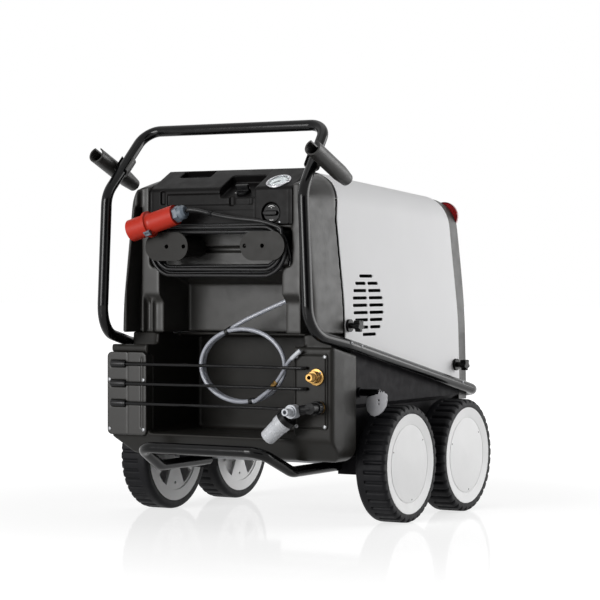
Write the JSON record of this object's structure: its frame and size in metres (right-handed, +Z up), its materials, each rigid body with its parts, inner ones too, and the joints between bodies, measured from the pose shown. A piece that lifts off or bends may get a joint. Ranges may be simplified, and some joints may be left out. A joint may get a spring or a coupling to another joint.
{
  "type": "pressure washer",
  "caption": "Wheeled electric pressure washer with tubular push handle, sheet hood, cord hooks, hose bin behind spring rods, gun holders, control panel and water connections.",
  "frame": {"origin": "middle of the footprint on the floor", "axes": "+X to the right side as seen from the handle end, +Y forward away from the handle, +Z up"},
  "size_m": [0.798, 0.944, 1.02],
  "materials": {
    "black_moulding": "fine-grained moulded black",
    "panel_black": "satin moulded black",
    "hood_silver": "satin silver-grey sheet",
    "red_lens": "clear red lens",
    "frame_black": "glossy black powder coat",
    "rubber_black": "soft black rubber",
    "zinc_steel": "zinc plated",
    "plug_red": "red moulded",
    "gland_grey": "grey moulded",
    "brass_fitting": "turned brass",
    "knob_black": "moulded black",
    "filter_grey": "grey moulded",
    "cup_clear": "milky clear",
    "hose_clear": "milky grey",
    "gauge_chrome": "polished",
    "dial_white": "printed white",
    "needle_black": "matt black",
    "gauge_pane": "clear",
    "wheel_white": "satin light grey",
    "tyre_black": "black rubber",
    "motor_grey": "cast, painted",
    "pump_aluminium": "cast"
  },
  "bodies": {
    "machine": {"chassis_tray": "black_moulding", "rear_bin": "black_moulding", "rear_housing": "black_moulding", "control_panel": "panel_black", "hood": "hood_silver", "front_cover": "black_moulding", "reflectors": "red_lens", "push_handle": "frame_black", "side_rails": "frame_black", "front_bumper": "frame_black", "foot_bar": "frame_black", "rod_clip_box": "black_moulding", "connection_plate": "black_moulding", "retaining_rods": "frame_black", "rod_tips": "rubber_black", "screws": "zinc_steel", "cord_hooks": "black_moulding", "cord_gland": "black_moulding", "cord_coil": "rubber_black", "cord_tail": "rubber_black", "power_plug": "plug_red", "plug_gland": "gland_grey", "outlet_fitting": "brass_fitting", "inlet_fitting": "brass_fitting", "filter_head": "knob_black", "filter_inlet": "filter_grey", "detergent_hose": "hose_clear", "hose_coil": "hose_clear", "hose_ties": "knob_black", "hose_coupling": "brass_fitting", "suction_strainer": "knob_black", "gun_holder_left": "knob_black", "gun_holder_right": "knob_black", "gauge_case": "gauge_chrome", "gauge_dial": "dial_white", "gauge_glass": "gauge_pane", "axles": "zinc_steel", "motor": "motor_grey", "pump": "pump_aluminium", "water_tank": "black_moulding", "pipes": "rubber_black"},
    "road_wheel_rear_right": {"wheel_rear_right": "wheel_white", "tyre_rear_right": "tyre_black"},
    "road_wheel_front_right": {"wheel_front_right": "wheel_white", "tyre_front_right": "tyre_black"},
    "road_wheel_rear_left": {"wheel_rear_left": "wheel_white", "tyre_rear_left": "tyre_black"},
    "road_wheel_front_left": {"wheel_front_left": "wheel_white", "tyre_front_left": "tyre_black"},
    "switch_knob": {"switch_knob": "knob_black"},
    "dosing_knob": {"dosing_knob": "knob_black"},
    "gauge_needle": {"gauge_needle": "needle_black"},
    "brake_pedal": {"brake_pedal": "zinc_steel"},
    "inlet_nut": {"inlet_nut": "knob_black"},
    "filter_cup": {"filter_cup": "cup_clear"},
    "hood_knob_rear_right": {"hood_knob_rear_right": "knob_black"},
    "hood_knob_front_right": {"hood_knob_front_right": "knob_black"},
    "hood_knob_rear_left": {"hood_knob_rear_left": "knob_black"},
    "hood_knob_front_left": {"hood_knob_front_left": "knob_black"}
  },
  "joints": [
    {"name": "wheel_rear_right_spin", "type": "hinge", "parent": "machine", "child": "road_wheel_rear_right", "pos_m": [0.3575, -0.0815, 0.15], "axis": [1, 0, 0], "continuous": true},
    {"name": "wheel_front_right_spin", "type": "hinge", "parent": "machine", "child": "road_wheel_front_right", "pos_m": [0.3575, 0.2495, 0.15], "axis": [1, 0, 0], "continuous": true},
    {"name": "wheel_rear_left_spin", "type": "hinge", "parent": "machine", "child": "road_wheel_rear_left", "pos_m": [-0.3575, -0.0815, 0.15], "axis": [1, 0, 0], "continuous": true},
    {"name": "wheel_front_left_spin", "type": "hinge", "parent": "machine", "child": "road_wheel_front_left", "pos_m": [-0.3575, 0.2495, 0.15], "axis": [1, 0, 0], "continuous": true},
    {"name": "switch_turn", "type": "hinge", "parent": "machine", "child": "switch_knob", "pos_m": [0.056, -0.34618, 0.85859], "axis": [0, -0.4772, 0.8788], "range_deg": [-90, 0]},
    {"name": "dosing_turn", "type": "hinge", "parent": "machine", "child": "dosing_knob", "pos_m": [0.15, -0.354, 0.786], "axis": [0, -1, 0], "range_deg": [0, 270]},
    {"name": "gauge_needle_turn", "type": "hinge", "parent": "machine", "child": "gauge_needle", "pos_m": [0.157, -0.33388, 0.86527], "axis": [0, -0.4772, 0.8788], "range_deg": [-270, 0], "stiffness_Nm_per_rad": 0.0005},
    {"name": "brake_swing", "type": "hinge", "parent": "machine", "child": "brake_pedal", "pos_m": [0.354, -0.203, 0.336], "axis": [1, 0, 0], "range_deg": [0, 38]},
    {"name": "hood_knob_rear_right_turn", "type": "hinge", "parent": "machine", "child": "hood_knob_rear_right", "pos_m": [0.325, -0.251, 0.505], "axis": [1, 0, 0], "continuous": true},
    {"name": "hood_knob_front_right_turn", "type": "hinge", "parent": "machine", "child": "hood_knob_front_right", "pos_m": [0.325, 0.346, 0.388], "axis": [1, 0, 0], "continuous": true},
    {"name": "hood_knob_rear_left_turn", "type": "hinge", "parent": "machine", "child": "hood_knob_rear_left", "pos_m": [-0.325, -0.251, 0.505], "axis": [-1, 0, 0], "continuous": true},
    {"name": "hood_knob_front_left_turn", "type": "hinge", "parent": "machine", "child": "hood_knob_front_left", "pos_m": [-0.325, 0.346, 0.388], "axis": [-1, 0, 0], "continuous": true},
    {"name": "inlet_nut_turn", "type": "hinge", "parent": "machine", "child": "inlet_nut", "pos_m": [0.297, -0.389, 0.305], "axis": [0, -1, 0], "continuous": true},
    {"name": "filter_cup_turn", "type": "hinge", "parent": "machine", "child": "filter_cup", "pos_m": [0.21421, -0.42107, 0.26328], "axis": [-0.7358, -0.0613, -0.6745], "continuous": true}
  ]
}
